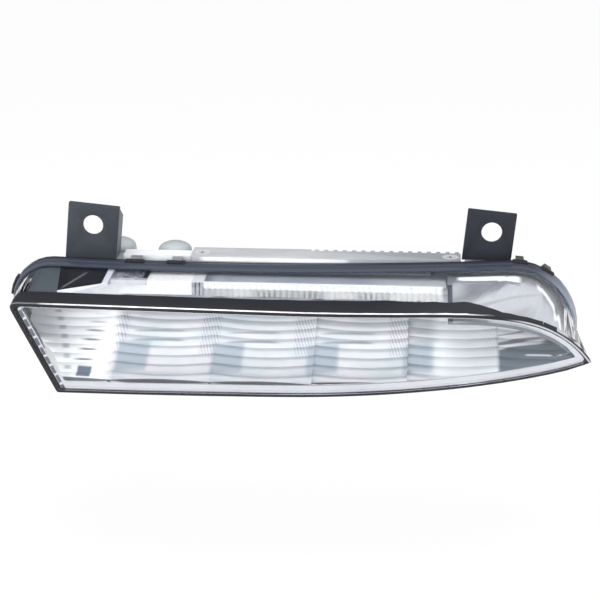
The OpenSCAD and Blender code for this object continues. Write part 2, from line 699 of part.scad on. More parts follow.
// Steel straps: upright plate with the hole, and a foot screwed to the housing
foot_len = 16.5;
flange_w = 12;
corner_r = 0.5;
hole_offset = [0, 0.8];
module rounded_rect(x0, y0, x1, y1, r) {
    translate([x0 + r, y0]) square([x1 - x0 - 2 * r, y1 - y0]);
    translate([x0, y0 + r]) square([x1 - x0, y1 - y0 - 2 * r]);
    for (x = [x0 + r, x1 - r]) for (y = [y0 + r, y1 - r]) translate([x, y]) circle(r = r, $fn = 24);
}
module strap(i, x, w, with_flange) {
    low = foot_top[i] - strap_t;
    difference() {
        union() {
            intersection() {
                translate([x - hole_offset[i], 0, 0]) rotate([0, strap_lean, 0]) {
                    front_prism(0, strap_t) rounded_rect(-w / 2, -30, w / 2, strap_top, corner_r);
                    if (with_flange) translate([w / 2 - strap_t, 0, 0]) rotate([90, 0, 90]) linear_extrude(strap_t)
                        polygon([[0, strap_top - 1.5], [strap_t + 0.5, strap_top - 1.5],
                            [flange_w, 3], [flange_w, -30], [0, -30]]);
                }
                translate([x - 40, -1, low]) cube([80, 60, 60]);
            }
            translate([foot_x[i][0], 0, low]) cube([foot_x[i][1] - foot_x[i][0], foot_len, strap_t]);
        }
        translate([x, -1, 0]) rotate([-90, 0, 0]) cylinder(h = strap_t + 2, d = hole_d, $fn = 64);
        translate([screw_x[i], strap_screw_y, low - 1]) cylinder(h = strap_t + 2, d = strap_screw_d + 0.2, $fn = 32);
    }
}
module bracket_left() {
    color([0.20, 0.22, 0.25]) strap(0, -hole_spacing / 2, strap_w, true);
}
module bracket_right() {
    color([0.15, 0.16, 0.18]) strap(1, hole_spacing / 2, strap_w_right, false);
}
module button_screw(d, grip, head_h, head_d) {
    translate([0, 0, -grip]) cylinder(h = grip + eps, d = d, $fn = 24);
    difference() {
        cylinder(h = head_h, d1 = head_d, d2 = head_d * 0.7, $fn = 32);
        translate([0, 0, 0.4]) cylinder(h = head_h, d = 4.4, $fn = 6);
    }
}
module bracket_screws() {
    color([0.55, 0.56, 0.58]) for (i = [0, 1]) translate([screw_x[i], strap_screw_y, foot_top[i]])
        button_screw(strap_screw_d, strap_t + 5, 1.3, 8.6);
}

outer_lens();
front_frame();
retaining_rim();
sealing_gasket();
rim_clips();
bezel_trim();
reflector();
led_shield();
board_cover();
end_panel_left();
end_panel_right();
side_optic();
optic_shelf();
shield_post();
led_board();
led(0);  // led_1
led(1);  // led_2
led(2);  // led_3
led(3);  // led_4
led(4);  // led_5
thermal_pad();
housing();
driver_board();
heat_sink();
heat_sink_screws();
vent_cap(0);  // vent_cap_1
vent_cap(1);  // vent_cap_2
connector_socket();
connector_pins();
bracket_left();
bracket_right();
bracket_screws();
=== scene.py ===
import math

import bmesh
import bpy
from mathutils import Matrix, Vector


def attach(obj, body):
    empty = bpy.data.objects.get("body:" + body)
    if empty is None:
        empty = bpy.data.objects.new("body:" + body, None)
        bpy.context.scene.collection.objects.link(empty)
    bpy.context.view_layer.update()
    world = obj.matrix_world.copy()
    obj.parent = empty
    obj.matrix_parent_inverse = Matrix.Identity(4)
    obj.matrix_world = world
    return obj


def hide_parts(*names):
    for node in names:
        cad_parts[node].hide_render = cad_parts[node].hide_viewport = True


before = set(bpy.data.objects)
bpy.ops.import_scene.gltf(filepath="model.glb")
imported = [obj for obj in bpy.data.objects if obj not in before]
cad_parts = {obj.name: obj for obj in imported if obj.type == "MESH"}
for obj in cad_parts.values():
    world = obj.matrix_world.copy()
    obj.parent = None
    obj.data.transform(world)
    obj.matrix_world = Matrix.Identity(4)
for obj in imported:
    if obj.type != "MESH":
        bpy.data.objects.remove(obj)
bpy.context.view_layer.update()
MM = 0.001

# Camera: a little to the right of the lamp and 18 degrees above it
camera_data = bpy.data.cameras.new("studio_camera")
camera_data.lens = 105
camera_data.sensor_width = 36
camera_data.clip_start = 0.01
camera_data.clip_end = 20
camera = bpy.data.objects.new("studio_camera", camera_data)
camera.location = (0.05573, -0.73991, 0.20815)
camera.rotation_euler = Vector((-0.0663, 0.9488, -0.3090)).to_track_quat("-Z", "Y").to_euler()
bpy.context.collection.objects.link(camera)
bpy.context.scene.camera = camera
bpy.context.scene.view_settings.view_transform = "Standard"


# Small helpers for shader nodes
def new_material(name):
    material = bpy.data.materials.new(name)
    material.use_nodes = True
    material.node_tree.nodes.clear()
    return material


def put(tree, kind, place, **settings):
    node = tree.nodes.new(kind)
    node.location = place
    for key, value in settings.items():
        setattr(node, key, value)
    return node


def wire(tree, start, end):
    tree.links.new(start, end)


def group_socket(tree, name, direction, kind, value=None):
    socket = tree.interface.new_socket(name=name, in_out=direction, socket_type=kind)
    if value is not None:
        socket.default_value = value


# Shared effect: the fine grain and slow tone changes of a moulded or coated surface
def make_surface_grain():
    tree = bpy.data.node_groups.new("surface_grain", "ShaderNodeTree")
    group_socket(tree, "Grain Scale", "INPUT", "NodeSocketFloat", 900.0)
    group_socket(tree, "Grain Height", "INPUT", "NodeSocketFloat", 0.1)
    group_socket(tree, "Tone Scale", "INPUT", "NodeSocketFloat", 18.0)
    group_socket(tree, "Roughness Low", "INPUT", "NodeSocketFloat", 0.3)
    group_socket(tree, "Roughness High", "INPUT", "NodeSocketFloat", 0.45)
    group_socket(tree, "Tone", "OUTPUT", "NodeSocketFloat")
    group_socket(tree, "Roughness", "OUTPUT", "NodeSocketFloat")
    group_socket(tree, "Normal", "OUTPUT", "NodeSocketVector")
    inputs = put(tree, "NodeGroupInput", (-900, 0))
    outputs = put(tree, "NodeGroupOutput", (500, 0))
    where = put(tree, "ShaderNodeTexCoord", (-900, -300))
    tone = put(tree, "ShaderNodeTexNoise", (-600, 200))
    tone.inputs["Detail"].default_value = 5
    tone.inputs["Roughness"].default_value = 0.6
    grain = put(tree, "ShaderNodeTexNoise", (-600, -200))
    grain.inputs["Detail"].default_value = 3
    wire(tree, where.outputs["Object"], tone.inputs["Vector"])
    wire(tree, where.outputs["Object"], grain.inputs["Vector"])
    wire(tree, inputs.outputs["Tone Scale"], tone.inputs["Scale"])
    wire(tree, inputs.outputs["Grain Scale"], grain.inputs["Scale"])
    spread = put(tree, "ShaderNodeMapRange", (-300, 250))
    spread.inputs["From Min"].default_value = 0.3
    spread.inputs["From Max"].default_value = 0.7
    wire(tree, tone.outputs["Fac"], spread.inputs["Value"])
    rough = put(tree, "ShaderNodeMapRange", (0, 100))
    rough.inputs["From Min"].default_value = 0.25
    rough.inputs["From Max"].default_value = 0.75
    wire(tree, grain.outputs["Fac"], rough.inputs["Value"])
    wire(tree, inputs.outputs["Roughness Low"], rough.inputs["To Min"])
    wire(tree, inputs.outputs["Roughness High"], rough.inputs["To Max"])
    bump = put(tree, "ShaderNodeBump", (0, -250))
    bump.inputs["Distance"].default_value = 0.0004
    wire(tree, grain.outputs["Fac"], bump.inputs["Height"])
    wire(tree, inputs.outputs["Grain Height"], bump.inputs["Strength"])
    wire(tree, spread.outputs["Result"], outputs.inputs["Tone"])
    wire(tree, rough.outputs["Result"], outputs.inputs["Roughness"])
    wire(tree, bump.outputs["Normal"], outputs.inputs["Normal"])
    return tree


# Shared effect: a mask that goes from none to full along a direction, by place or by normal
def make_span_mask(source):
    tree = bpy.data.node_groups.new("span_by_" + source.lower(), "ShaderNodeTree")
    group_socket(tree, "Direction", "INPUT", "NodeSocketVector")
    group_socket(tree, "Start", "INPUT", "NodeSocketFloat", 0.0)
    group_socket(tree, "End", "INPUT", "NodeSocketFloat", 1.0)
    group_socket(tree, "Mask", "OUTPUT", "NodeSocketFloat")
    inputs = put(tree, "NodeGroupInput", (-600, 0))
    outputs = put(tree, "NodeGroupOutput", (300, 0))
    where = put(tree, "ShaderNodeTexCoord", (-600, -250))
    along = put(tree, "ShaderNodeVectorMath", (-300, -100), operation="DOT_PRODUCT")
    wire(tree, where.outputs[source], along.inputs[0])
    wire(tree, inputs.outputs["Direction"], along.inputs[1])
    ramp = put(tree, "ShaderNodeMapRange", (0, 0), interpolation_type="SMOOTHSTEP")
    wire(tree, along.outputs["Value"], ramp.inputs["Value"])
    wire(tree, inputs.outputs["Start"], ramp.inputs["From Min"])
    wire(tree, inputs.outputs["End"], ramp.inputs["From Max"])
    wire(tree, ramp.outputs["Result"], outputs.inputs["Mask"])
    return tree


# Shared effect: evenly spaced bands across a direction, each as wide as Low and High let it be
def make_ripple_mask():
    tree = bpy.data.node_groups.new("ripple_mask", "ShaderNodeTree")
    group_socket(tree, "Direction", "INPUT", "NodeSocketVector")
    group_socket(tree, "Period", "INPUT", "NodeSocketFloat", 0.04)
    group_socket(tree, "Peak", "INPUT", "NodeSocketFloat", 0.0)
    group_socket(tree, "Low", "INPUT", "NodeSocketFloat", -0.2)
    group_socket(tree, "High", "INPUT", "NodeSocketFloat", 0.4)
    group_socket(tree, "Mask", "OUTPUT", "NodeSocketFloat")
    inputs = put(tree, "NodeGroupInput", (-900, 0))
    outputs = put(tree, "NodeGroupOutput", (600, 0))
    where = put(tree, "ShaderNodeTexCoord", (-900, -250))
    along = put(tree, "ShaderNodeVectorMath", (-700, -100), operation="DOT_PRODUCT")
    wire(tree, where.outputs["Object"], along.inputs[0])
    wire(tree, inputs.outputs["Direction"], along.inputs[1])
    offset = put(tree, "ShaderNodeMath", (-500, -100), operation="SUBTRACT")
    wire(tree, along.outputs["Value"], offset.inputs[0])
    wire(tree, inputs.outputs["Peak"], offset.inputs[1])
    turns = put(tree, "ShaderNodeMath", (-300, -100), operation="DIVIDE")
    wire(tree, offset.outputs["Value"], turns.inputs[0])
    wire(tree, inputs.outputs["Period"], turns.inputs[1])
    angle = put(tree, "ShaderNodeMath", (-100, -100), operation="MULTIPLY")
    angle.inputs[1].default_value = 2 * math.pi
    wire(tree, turns.outputs["Value"], angle.inputs[0])
    crest = put(tree, "ShaderNodeMath", (100, -100), operation="COSINE")
    wire(tree, angle.outputs["Value"], crest.inputs[0])
    ramp = put(tree, "ShaderNodeMapRange", (350, 0), interpolation_type="SMOOTHSTEP")
    wire(tree, crest.outputs["Value"], ramp.inputs["Value"])
    wire(tree, inputs.outputs["Low"], ramp.inputs["From Min"])
    wire(tree, inputs.outputs["High"], ramp.inputs["From Max"])
    wire(tree, ramp.outputs["Result"], outputs.inputs["Mask"])
    return tree


# Shared effect: a mask that goes from none to full with the distance from a centre, in the chosen axes
def make_ring_mask():
    tree = bpy.data.node_groups.new("ring_mask", "ShaderNodeTree")
    group_socket(tree, "Centre", "INPUT", "NodeSocketVector")
    group_socket(tree, "Axes", "INPUT", "NodeSocketVector")
    group_socket(tree, "Start", "INPUT", "NodeSocketFloat", 0.0)
    group_socket(tree, "End", "INPUT", "NodeSocketFloat", 1.0)
    group_socket(tree, "Mask", "OUTPUT", "NodeSocketFloat")
    inputs = put(tree, "NodeGroupInput", (-900, 0))
    outputs = put(tree, "NodeGroupOutput", (400, 0))
    where = put(tree, "ShaderNodeTexCoord", (-900, -250))
    offset = put(tree, "ShaderNodeVectorMath", (-600, -100), operation="SUBTRACT")
    wire(tree, where.outputs["Object"], offset.inputs[0])
    wire(tree, inputs.outputs["Centre"], offset.inputs[1])
    flat = put(tree, "ShaderNodeVectorMath", (-400, -100), operation="MULTIPLY")
    wire(tree, offset.outputs["Vector"], flat.inputs[0])
    wire(tree, inputs.outputs["Axes"], flat.inputs[1])
    reach = put(tree, "ShaderNodeVectorMath", (-200, -100), operation="LENGTH")
    wire(tree, flat.outputs["Vector"], reach.inputs[0])
    ramp = put(tree, "ShaderNodeMapRange", (100, 0), interpolation_type="SMOOTHSTEP")
    wire(tree, reach.outputs["Value"], ramp.inputs["Value"])
    wire(tree, inputs.outputs["Start"], ramp.inputs["From Min"])
    wire(tree, inputs.outputs["End"], ramp.inputs["From Max"])
    wire(tree, ramp.outputs["Result"], outputs.inputs["Mask"])
    return tree


surface_grain = make_surface_grain()
masks = {
    "span": make_span_mask("Object"),
    "facing": make_span_mask("Normal"),
    "ripple": make_ripple_mask(),
    "ring": make_ring_mask(),
}
X, Y, Z = (1, 0, 0), (0, 1, 0), (0, 0, 1)


def span(direction, start, end):
    return "span", {"Direction": direction, "Start": start, "End": end}


def facing(direction, start, end):
    return "facing", {"Direction": direction, "Start": start, "End": end}


def ripple(direction, period, peak, low, high):
    return "ripple", {"Direction": direction, "Period": period, "Peak": peak, "Low": low, "High": high}


def between(direction, start, end, soft):
    return span(direction, start - soft, start + soft), span(direction, end + soft, end - soft)


def ring(centre, axes, radius, width, soft):
    values = {"Centre": centre, "Axes": axes}
    inner = {"Start": radius - width / 2 - soft, "End": radius - width / 2 + soft}
    outer = {"Start": radius + width / 2 + soft, "End": radius + width / 2 - soft}
    return ("ring", {**values, **inner}), ("ring", {**values, **outer})


finishes = {}


def grained(name, dark, light, roughness=(0.35, 0.5), grain=(900, 0.15), tone=18,
            metallic=0.0, coat=0.0, specular=0.5):
    """A moulded, painted, cast or plated surface, between a darker and a lighter shade of its colour."""
    material = new_material(name)
    tree = material.node_tree
    effect = put(tree, "ShaderNodeGroup", (-600, 0), node_tree=surface_grain)
    effect.inputs["Grain Scale"].default_value = grain[0]
    effect.inputs["Grain Height"].default_value = grain[1]
    effect.inputs["Tone Scale"].default_value = tone
    effect.inputs["Roughness Low"].default_value = roughness[0]
    effect.inputs["Roughness High"].default_value = roughness[1]
    mix = put(tree, "ShaderNodeMix", (-300, 150), data_type="RGBA")
    mix.inputs["A"].default_value = (*dark, 1)
    mix.inputs["B"].default_value = (*light, 1)
    wire(tree, effect.outputs["Tone"], mix.inputs["Factor"])
    shader = put(tree, "ShaderNodeBsdfPrincipled", (0, 0))
    shader.inputs["Metallic"].default_value = metallic
    shader.inputs["Coat Weight"].default_value = coat
    shader.inputs["Coat Roughness"].default_value = 0.05
    shader.inputs["Specular IOR Level"].default_value = specular
    shader.inputs["IOR"].default_value = 1.5
    wire(tree, mix.outputs["Result"], shader.inputs["Base Color"])
    wire(tree, effect.outputs["Roughness"], shader.inputs["Roughness"])
    wire(tree, effect.outputs["Normal"], shader.inputs["Normal"])
    surface = put(tree, "ShaderNodeOutputMaterial", (300, 0))
    wire(tree, shader.outputs["BSDF"], surface.inputs["Surface"])
    finishes[name] = material


def clear_plastic(name, tint):
    """Clear moulded plastic, which lets the lamps' light through to what lies behind."""
    material = new_material(name)
    tree = material.node_tree
    effect = put(tree, "ShaderNodeGroup", (-600, 0), node_tree=surface_grain)
    effect.inputs["Grain Scale"].default_value = 60
    effect.inputs["Grain Height"].default_value = 0.0
    effect.inputs["Roughness Low"].default_value = 0.0
    effect.inputs["Roughness High"].default_value = 0.03
    shader = put(tree, "ShaderNodeBsdfPrincipled", (-200, 0))
    shader.inputs["Base Color"].default_value = (*tint, 1)
    shader.inputs["Transmission Weight"].default_value = 1.0
    shader.inputs["IOR"].default_value = 1.49
    wire(tree, effect.outputs["Roughness"], shader.inputs["Roughness"])
    through = put(tree, "ShaderNodeBsdfTransparent", (-200, 250))
    through.inputs["Color"].default_value = (*tint, 1)
    path = put(tree, "ShaderNodeLightPath", (-500, 500))
    either = put(tree, "ShaderNodeMath", (-200, 450), operation="MAXIMUM")
    wire(tree, path.outputs["Is Shadow Ray"], either.inputs[0])
    wire(tree, path.outputs["Is Diffuse Ray"], either.inputs[1])
    mix = put(tree, "ShaderNodeMixShader", (100, 100))
    wire(tree, either.outputs["Value"], mix.inputs["Fac"])
    wire(tree, shader.outputs["BSDF"], mix.inputs[1])
    wire(tree, through.outputs["BSDF"], mix.inputs[2])
    surface = put(tree, "ShaderNodeOutputMaterial", (350, 0))
    wire(tree, mix.outputs["Shader"], surface.inputs["Surface"])
    finishes[name] = material


def paint(finish, colour, *parts, share=1.0, metallic=None):
    """Paints a colour over a finish where all the masks hold, and may change how metallic it is there."""
    tree = finishes[finish].node_tree
    shader = next(n for n in tree.nodes if n.type == "BSDF_PRINCIPLED")
    mask = None
    for kind, values in parts:
        effect = put(tree, "ShaderNodeGroup", (-900, 500), node_tree=masks[kind])
        for name, value in values.items():
            effect.inputs[name].default_value = value
        joined = put(tree, "ShaderNodeMath", (-700, 500), operation="MULTIPLY")
        joined.inputs[1].default_value = share
        wire(tree, effect.outputs["Mask"], joined.inputs[0])
        if mask:
            wire(tree, mask, joined.inputs[1])
        mask = joined.outputs["Value"]
    mix = put(tree, "ShaderNodeMix", (-150, 300), data_type="RGBA")
    mix.inputs["B"].default_value = (*colour, 1)
    wire(tree, mask, mix.inputs["Factor"])
    wire(tree, shader.inputs["Base Color"].links[0].from_socket, mix.inputs["A"])
    wire(tree, mix.outputs["Result"], shader.inputs["Base Color"])
    if metallic is not None:
        level = put(tree, "ShaderNodeMapRange", (-150, 100))
        level.inputs["To Min"].default_value = shader.inputs["Metallic"].default_value
        for link in shader.inputs["Metallic"].links:
            wire(tree, link.from_socket, level.inputs["To Min"])
        level.inputs["To Max"].default_value = metallic
        wire(tree, mask, level.inputs["Value"])
        wire(tree, level.outputs["Result"], shader.inputs["Metallic"])


# Lens, border, rim and trim
clear_plastic("clear_lens", (0.985, 0.993, 1.0))
grained("black_border", (0.012, 0.013, 0.016), (0.020, 0.021, 0.026), (0.30, 0.40), (2200, 0.02),
        specular=0.25)
grained("rim", (0.022, 0.027, 0.042), (0.034, 0.041, 0.060), (0.30, 0.38), (2600, 0.01), 9, coat=0.15)
grained("gasket", (0.010, 0.010, 0.012), (0.022, 0.022, 0.024), (0.6, 0.8), (1500, 0.3))
grained("clips", (0.010, 0.011, 0.013), (0.02, 0.021, 0.024), (0.3, 0.45), (900, 0.08))
grained("bright_trim", (0.70, 0.72, 0.77), (0.84, 0.85, 0.88), (0.10, 0.2), (300, 0.02), metallic=1.0)
# Pale finish for the border's fillet: a painted highlight
grained("edge_highlight_paint", (0.42, 0.41, 0.44), (0.76, 0.74, 0.77), (0.2, 0.3), (900, 0.01), 90)

# Reflector and the row of pieces behind the top of the lens
grained("reflector", (0.56, 0.62, 0.65), (0.76, 0.72, 0.75), (0.12, 0.22), (260, 0.02), 55, metallic=0.5)
grained("fluted_shield", (0.64, 0.66, 0.67), (0.90, 0.89, 0.90), (0.12, 0.2), (500, 0.03), 90, metallic=0.7)
grained("cover_strip", (0.36, 0.39, 0.45), (0.54, 0.57, 0.64), (0.3, 0.42), (900, 0.05), 60, metallic=0.3)
grained("dark_panel", (0.060, 0.073, 0.085), (0.085, 0.100, 0.115), (0.4, 0.55), (1800, 0.06), specular=0.25)
grained("panel_black", (0.005, 0.004, 0.006), (0.010, 0.008, 0.011), (0.35, 0.5), (1800, 0.04), specular=0.0)
grained("satin_panel", (0.54, 0.55, 0.59), (0.68, 0.69, 0.73), (0.26, 0.36), (900, 0.02), metallic=0.75)
grained("side_optic", (0.08, 0.08, 0.14), (0.80, 0.82, 0.92), (0.05, 0.12), (500, 0.2), 420, metallic=0.6)
grained("ledge", (0.97, 0.97, 0.98), (0.99, 0.99, 0.99), (0.2, 0.32), (700, 0.02), coat=0.3)
grained("post", (0.52, 0.52, 0.60), (0.88, 0.88, 0.92), (0.12, 0.2), (500, 0.03), 260, metallic=1.0)

# Light sources, housing, heat sink and what sits on them
grained("circuit_board", (0.68, 0.70, 0.72), (0.78, 0.79, 0.81), (0.3, 0.4), (1500, 0.04))
grained("light_source", (0.72, 0.70, 0.52), (0.84, 0.82, 0.66), (0.3, 0.45), (2500, 0.1))
grained("thermal_pad", (0.55, 0.55, 0.57), (0.66, 0.66, 0.68), (0.6, 0.8), (1500, 0.2))
grained("housing", (0.56, 0.58, 0.60), (0.66, 0.68, 0.70), (0.4, 0.55), (1600, 0.08))
grained("driver_board", (0.02, 0.09, 0.05), (0.03, 0.13, 0.07), (0.3, 0.4), (1500, 0.04))
grained("heat_sink", (0.38, 0.40, 0.42), (0.47, 0.49, 0.51), (0.42, 0.58), (1800, 0.2), 40, metallic=0.2)
grained("screws", (0.42, 0.43, 0.45), (0.60, 0.60, 0.62), (0.22, 0.36), (900, 0.08), 90, metallic=1.0)
grained("sink_screws", (0.44, 0.46, 0.47), (0.52, 0.54, 0.55), (0.45, 0.6), (900, 0.1), metallic=0.2)
grained("vent_cap", (0.26, 0.285, 0.30), (0.33, 0.36, 0.375), (0.3, 0.42), (1600, 0.04))
grained("connector", (0.012, 0.012, 0.014), (0.024, 0.024, 0.027), (0.4, 0.55), (1300, 0.2))
grained("pins", (0.62, 0.52, 0.26), (0.74, 0.64, 0.36), (0.15, 0.25), (900, 0.03), metallic=1.0)
grained("strap_paint", (0.029, 0.034, 0.042), (0.041, 0.047, 0.056), (0.45, 0.6), (2200, 0.12), specular=0.35)
# A darker copy of the strap paint for the right bracket: painted shade
grained("strap_paint_shaded", (0.013, 0.015, 0.021), (0.020, 0.022, 0.030), (0.45, 0.6), (2200, 0.12),
        specular=0.3)


def paint_rim_and_rear():
    """Rim, heat sink, clips and straps, with painted light on the foot of the heat sink and on the flange of
    the left strap.
    """
    # The rim's right end is paler, and the foot of the heat sink behind the rim is lit in the middle
    paint("rim", (0.20, 0.225, 0.275), span(X, 0.105, 0.125))
    paint("heat_sink", (0.93, 0.94, 0.95), facing(Y, -0.7, -0.9), *between(X, -0.040, 0.025, 0.002),
          *between(Z, -0.0164, -0.0148, 0.0003))
    paint("heat_sink", (0.28, 0.30, 0.325), span(X, 0.0, 0.060), span(Y, -0.0020, 0.0))
    # Clips have pale heads, and the flange of the left strap, facing +X, is painted paler than its front as
    # painted light
    head = span(Y, -0.0022, -0.0016)
    paint("clips", (0.20, 0.21, 0.215), head)
    paint("clips", (0.07, 0.08, 0.07), head, span(X, 0.090, 0.094))
    paint("strap_paint", (0.10, 0.11, 0.12), facing(X, 0.6, 0.8))


def paint_border_and_trim():
    """Painted highlight on the border's edge, painted highlight along the border's arc, and painted
    reflections on the dashed strip of the trim.
    """
    # The painted highlight on the edge fades towards both ends
    paint("edge_highlight_paint", (0.05, 0.05, 0.06), span(X, 0.074, 0.088))
    paint("edge_highlight_paint", (0.10, 0.10, 0.11), span(X, -0.098, -0.103))
    # Painted highlight: a pale line along the right arc of the border
    arc_centre = (0.0855, 0, -0.0811)
    paint("black_border", (0.36, 0.38, 0.42), *ring(arc_centre, (1, 0, 1), 0.0548, 0.0007, 0.0001),
          facing(Y, -0.6, -0.8), span(X, 0.092, 0.104))
    # Painted reflections: dark dashes along the slanted edge of the trim
    across = (0.8935, 0.0, 0.449)
    along = (0.449, 0.0, -0.8935)
    dash_period = 0.0046
    paint("bright_trim", (0.13, 0.15, 0.21), *between(across, -0.1094, -0.1078, 0.0002),
          ripple(along, dash_period, 0.0, -0.95, -0.55))


def paint_top_row():
    """Post, cover strip, end panels, side optic and fluted shield, seen through the top of the lens, with
    painted highlights and shade among their tones.
    """
    # Painted highlight: the upward faces of the post are painted pale
    paint("post", (0.86, 0.86, 0.90), facing(Z, 0.7, 0.8), metallic=0.1)
    # The cover strip is darker at its left end and paler towards the right
    paint("cover_strip", (0.14, 0.15, 0.20), span(X, -0.030, -0.038), share=0.8)
    paint("cover_strip", (0.62, 0.64, 0.69), span(X, 0.015, 0.062), share=0.9)
    # Left panel: a faint streak of light, a pale edge beside the optic, and a white wedge in front
    streak_across = (0.949, -0.315, 0)
    paint("panel_black", (0.14, 0.14, 0.145), *between(streak_across, -0.0812, -0.0800, 0.0004),
          *between(Y, -0.0330, -0.0130, 0.002), share=0.9)
    paint("panel_black", (0.62, 0.61, 0.70), span(X, -0.0805, -0.0801))
    paint("panel_black", (0.86, 0.86, 0.90), span((0.534, -0.8455, 0), -0.0212, -0.0207))
    paint("side_optic", (0.90, 0.90, 0.95), span(Y, -0.0158, -0.0164))
    paint("side_optic", (0.03, 0.03, 0.05), span(X, -0.0642, -0.0638), span(Y, -0.0162, -0.0156))
    # Right panel: the painted gleam along its shoulder, a painted highlight on the top of its bar, a dark
    # rib, and its front and underside
    shoulder_centre = (0.0892, 0, -0.0437)
    paint("satin_panel", (0.98, 0.98, 0.99), *ring(shoulder_centre, (1, 0, 1), 0.0287, 0.0009, 0.0004),
          span(X, 0.1065, 0.1085), metallic=0.0)
    paint("satin_panel", (0.96, 0.96, 0.97), *between(Y, -0.0130, -0.0090, 0.0006),
          *between(X, 0.0735, 0.1000, 0.0015), facing(Z, 0.7, 0.8), metallic=0.0)
    paint("satin_panel", (0.16, 0.17, 0.21), span(X, 0.0713, 0.0709), span(Y, -0.0160, -0.0166))
    paint("satin_panel", (0.20, 0.23, 0.26), facing(Y, -0.5, -0.7), span(Z, -0.0265, -0.0285))
    paint("satin_panel", (0.80, 0.81, 0.84), facing(Z, -0.3, -0.5))
    # Flutes: painted highlight on the white top edge and in the white gaps between their groups, and painted
    # shade on the darker flutes inside the groups
    paint("fluted_shield", (0.97, 0.97, 0.98), span(Z, -0.0242, -0.0234), metallic=0.0)
    for start, end in ((-0.024, -0.016), (0.017, 0.029), (0.044, 0.070)):
        paint("fluted_shield", (0.97, 0.97, 0.97), *between(X, start, end, 0.002), share=0.9)
    flute_spacing = 0.0024
    for start, end in ((-0.0150, -0.0050), (0.0070, 0.0145), (0.0315, 0.0385)):
        paint("fluted_shield", (0.22, 0.25, 0.28), ripple(X, flute_spacing, start, -0.2, 0.6),
              *between(X, start, end, 0.002), span(Z, -0.0242, -0.0250), share=0.6)


def paint_reflector():
    """Painted reflections and painted shade on the six cells of the reflector, which differ from cell to
    cell.
    """
    cell = 0.041
    step = 0.0025
    # Painted reflection as hatching at the right of each cell, and painted shade in blue-grey at its lower
    # left
    paint("reflector", (0.30, 0.33, 0.38), ripple(X, cell, -0.0745, 0.70, 0.90),
          ripple((1.0, 0.0, 0.6), 0.0014, 0.0, 0.0, 0.7), *between(Z, -0.0475, -0.036, 0.001), share=0.7)
    paint("reflector", (0.36, 0.42, 0.48), ripple(X, cell, -0.0660, 0.35, 0.7),
          *between(Z, -0.0517, -0.0445, 0.001), share=0.95)
    # First cell: painted white for its bright reflection, with two columns of dark marks, one on each step,
    # and a dark block, both painted shade
    paint("reflector", (0.98, 0.98, 0.98), span(X, -0.072, -0.078), share=0.98, metallic=0.0)
    paint("reflector", (0.12, 0.15, 0.18), ripple(Z, step, -0.0446, 0.40, 0.9),
          *between((1, 0, -0.34), -0.0736, -0.0662, 0.0026), span(Z, -0.0515, -0.0505),
          span(Z, -0.0350, -0.0440), share=0.9)
    paint("reflector", (0.30, 0.37, 0.43), ripple(Z, step, -0.0440, 0.0, 0.8),
          *between((1, 0, 0.636), -0.1272, -0.1244, 0.0010), share=0.6)
    paint("reflector", (0.05, 0.08, 0.14), *between(X, -0.0887, -0.0825, 0.0006),
          *between(Z, -0.0533, -0.0510, 0.0003), share=0.95)
    # Inner cells: painted shade along the edges of two steps
    for edge, share in ((-0.0443, 0.75), (-0.0418, 0.55)):
        paint("reflector", (0.22, 0.26, 0.28), *between(Z, edge - 0.0003, edge + 0.0003, 0.0002),
              ripple(X, cell, -0.0560, -0.4, 0.3), *between(X, -0.0700, 0.0580, 0.004), share=share)
    # Last two cells: painted light under the end panel, and then a painted reflection in dark blue-grey, with
    # bright and dark streaks that rise to the right
    paint("reflector", (0.93, 0.94, 0.95), span(X, 0.060, 0.068), share=0.6, metallic=0.15)
    last = (span(X, 0.0908, 0.0916), span(X, 0.1130, 0.1085))
    rising = (-0.08, 0.0, 1.0)
    paint("reflector", (0.10, 0.14, 0.18), span(X, 0.0900, 0.0925), share=0.95)
    paint("reflector", (0.95, 0.95, 0.96), *last, span(rising, -0.0533, -0.0528))
    paint("reflector", (0.12, 0.14, 0.17), *last, *between(rising, -0.0521, -0.0511, 0.0002), share=0.9)
    paint("reflector", (0.20, 0.22, 0.24), *last, *between(rising, -0.0495, -0.0491, 0.0002), share=0.8)
    paint("reflector", (0.92, 0.93, 0.96), *between(X, 0.1030, 0.1140, 0.001),
          *between(Z, -0.0475, -0.0470, 0.0002), share=0.9)
    # Painted shadow: a thin dark line where the reflector meets the trim
    paint("reflector", (0.04, 0.045, 0.055), span(Z, -0.0534, -0.0537), span(X, 0.060, 0.055), share=0.95)


paint_rim_and_rear()
paint_border_and_trim()
paint_top_row()
paint_reflector()

slot_of = {
    "outer_lens": "clear_lens", "front_frame": "black_border", "retaining_rim": "rim",
    "sealing_gasket": "gasket", "rim_clips": "clips", "bezel_trim": "bright_trim",
    "reflector": "reflector", "led_shield": "fluted_shield", "board_cover": "cover_strip",
    "end_panel_left": "dark_panel", "end_panel_right": "satin_panel", "side_optic": "side_optic",
    "optic_shelf": "ledge", "shield_post": "post", "led_board": "circuit_board",
    "led_1": "light_source", "led_2": "light_source", "led_3": "light_source",
    "led_4": "light_source", "led_5": "light_source", "thermal_pad": "thermal_pad",
    "housing": "housing", "driver_board": "driver_board", "heat_sink": "heat_sink",
    "heat_sink_screws": "screws", "bracket_screws": "screws", "vent_cap_1": "vent_cap",
    "vent_cap_2": "vent_cap", "connector_socket": "connector", "connector_pins": "pins",
    "bracket_left": "strap_paint", "bracket_right": "strap_paint",
}


def dress(piece, slot):
    piece.data.materials.clear()
    piece.data.materials.append(finishes[slot])


